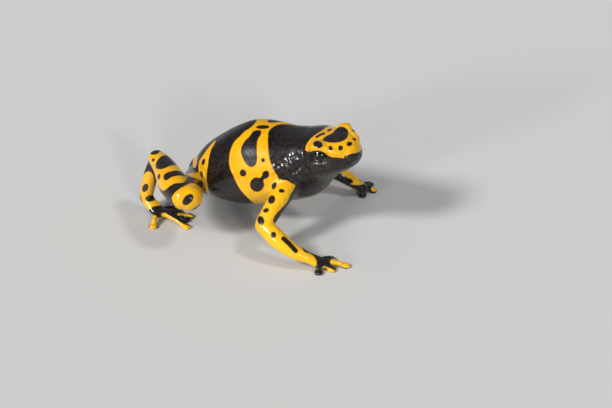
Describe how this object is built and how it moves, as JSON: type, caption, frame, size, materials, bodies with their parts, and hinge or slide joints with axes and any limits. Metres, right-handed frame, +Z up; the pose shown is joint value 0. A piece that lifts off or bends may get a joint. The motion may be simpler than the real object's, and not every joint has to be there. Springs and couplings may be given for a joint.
{
  "type": "yellow-banded poison dart frog",
  "caption": "Life-size still model of a yellow-banded poison dart frog sitting alert, with raised, turned head, one hind foot drawn up and spread finger pads.",
  "frame": {"origin": "centre of the bounding box, at the floor under the finger and toe pads", "axes": "+X the way the trunk points, +Y the frog's left, +Z up"},
  "size_m": [0.044, 0.0372, 0.0229],
  "materials": {
    "black_skin": "smooth black skin with a moist gloss",
    "yellow_skin": "smooth golden yellow skin with a moist gloss",
    "eye": "wet, near black"
  },
  "bodies": {
    "root": {"torso": "black_skin", "head": "yellow_skin", "lower_jaw": "black_skin", "ear_right": "black_skin", "ear_left": "black_skin", "eye_right": "eye", "eye_left": "eye", "upper_arm_right": "yellow_skin", "forearm_right": "yellow_skin", "hand_right": "black_skin", "thigh_right": "yellow_skin", "shank_right": "black_skin", "tarsus_right": "yellow_skin", "foot_right": "black_skin", "upper_arm_left": "yellow_skin", "forearm_left": "yellow_skin", "hand_left": "black_skin", "thigh_left": "yellow_skin", "shank_left": "black_skin", "tarsus_left": "yellow_skin", "foot_left": "black_skin"}
  },
  "joints": []
}
